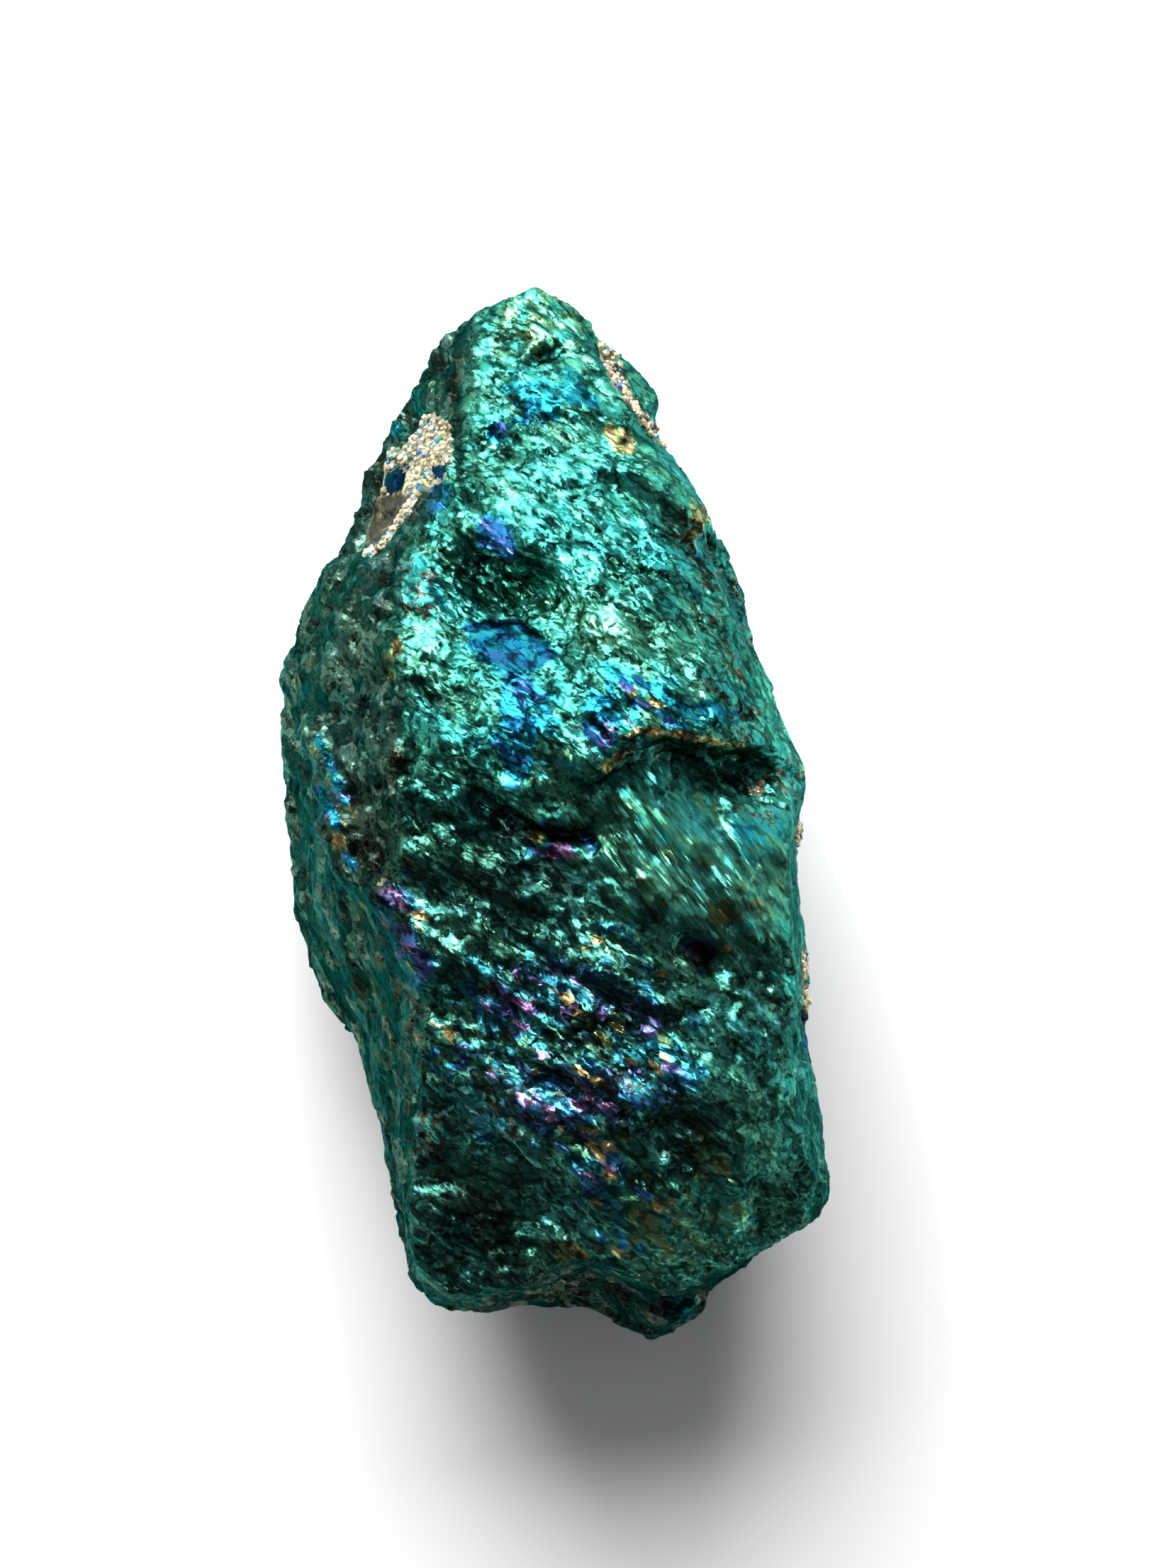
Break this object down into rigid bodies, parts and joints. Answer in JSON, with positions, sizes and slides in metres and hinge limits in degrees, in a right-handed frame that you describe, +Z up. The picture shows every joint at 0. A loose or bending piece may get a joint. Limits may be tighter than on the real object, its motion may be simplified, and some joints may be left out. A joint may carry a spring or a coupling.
{
  "type": "peacock ore",
  "caption": "Rough elongated lump of tarnished copper ore with a pointed end, a ridged face, broken ledges and a small flat break it lies on.",
  "frame": {"origin": "under the middle of the lump, on the surface it lies on", "axes": "+Y towards the pointed end, along the lump; +Z up, out of the broad ridged face; +X across"},
  "size_m": [0.0262, 0.05, 0.0225],
  "materials": {
    "tarnished_ore": "metallic teal tarnish on rough broken faces, with gold, blue and violet spots"
  },
  "bodies": {
    "root": {"peacock_ore": "tarnished_ore"}
  },
  "joints": []
}
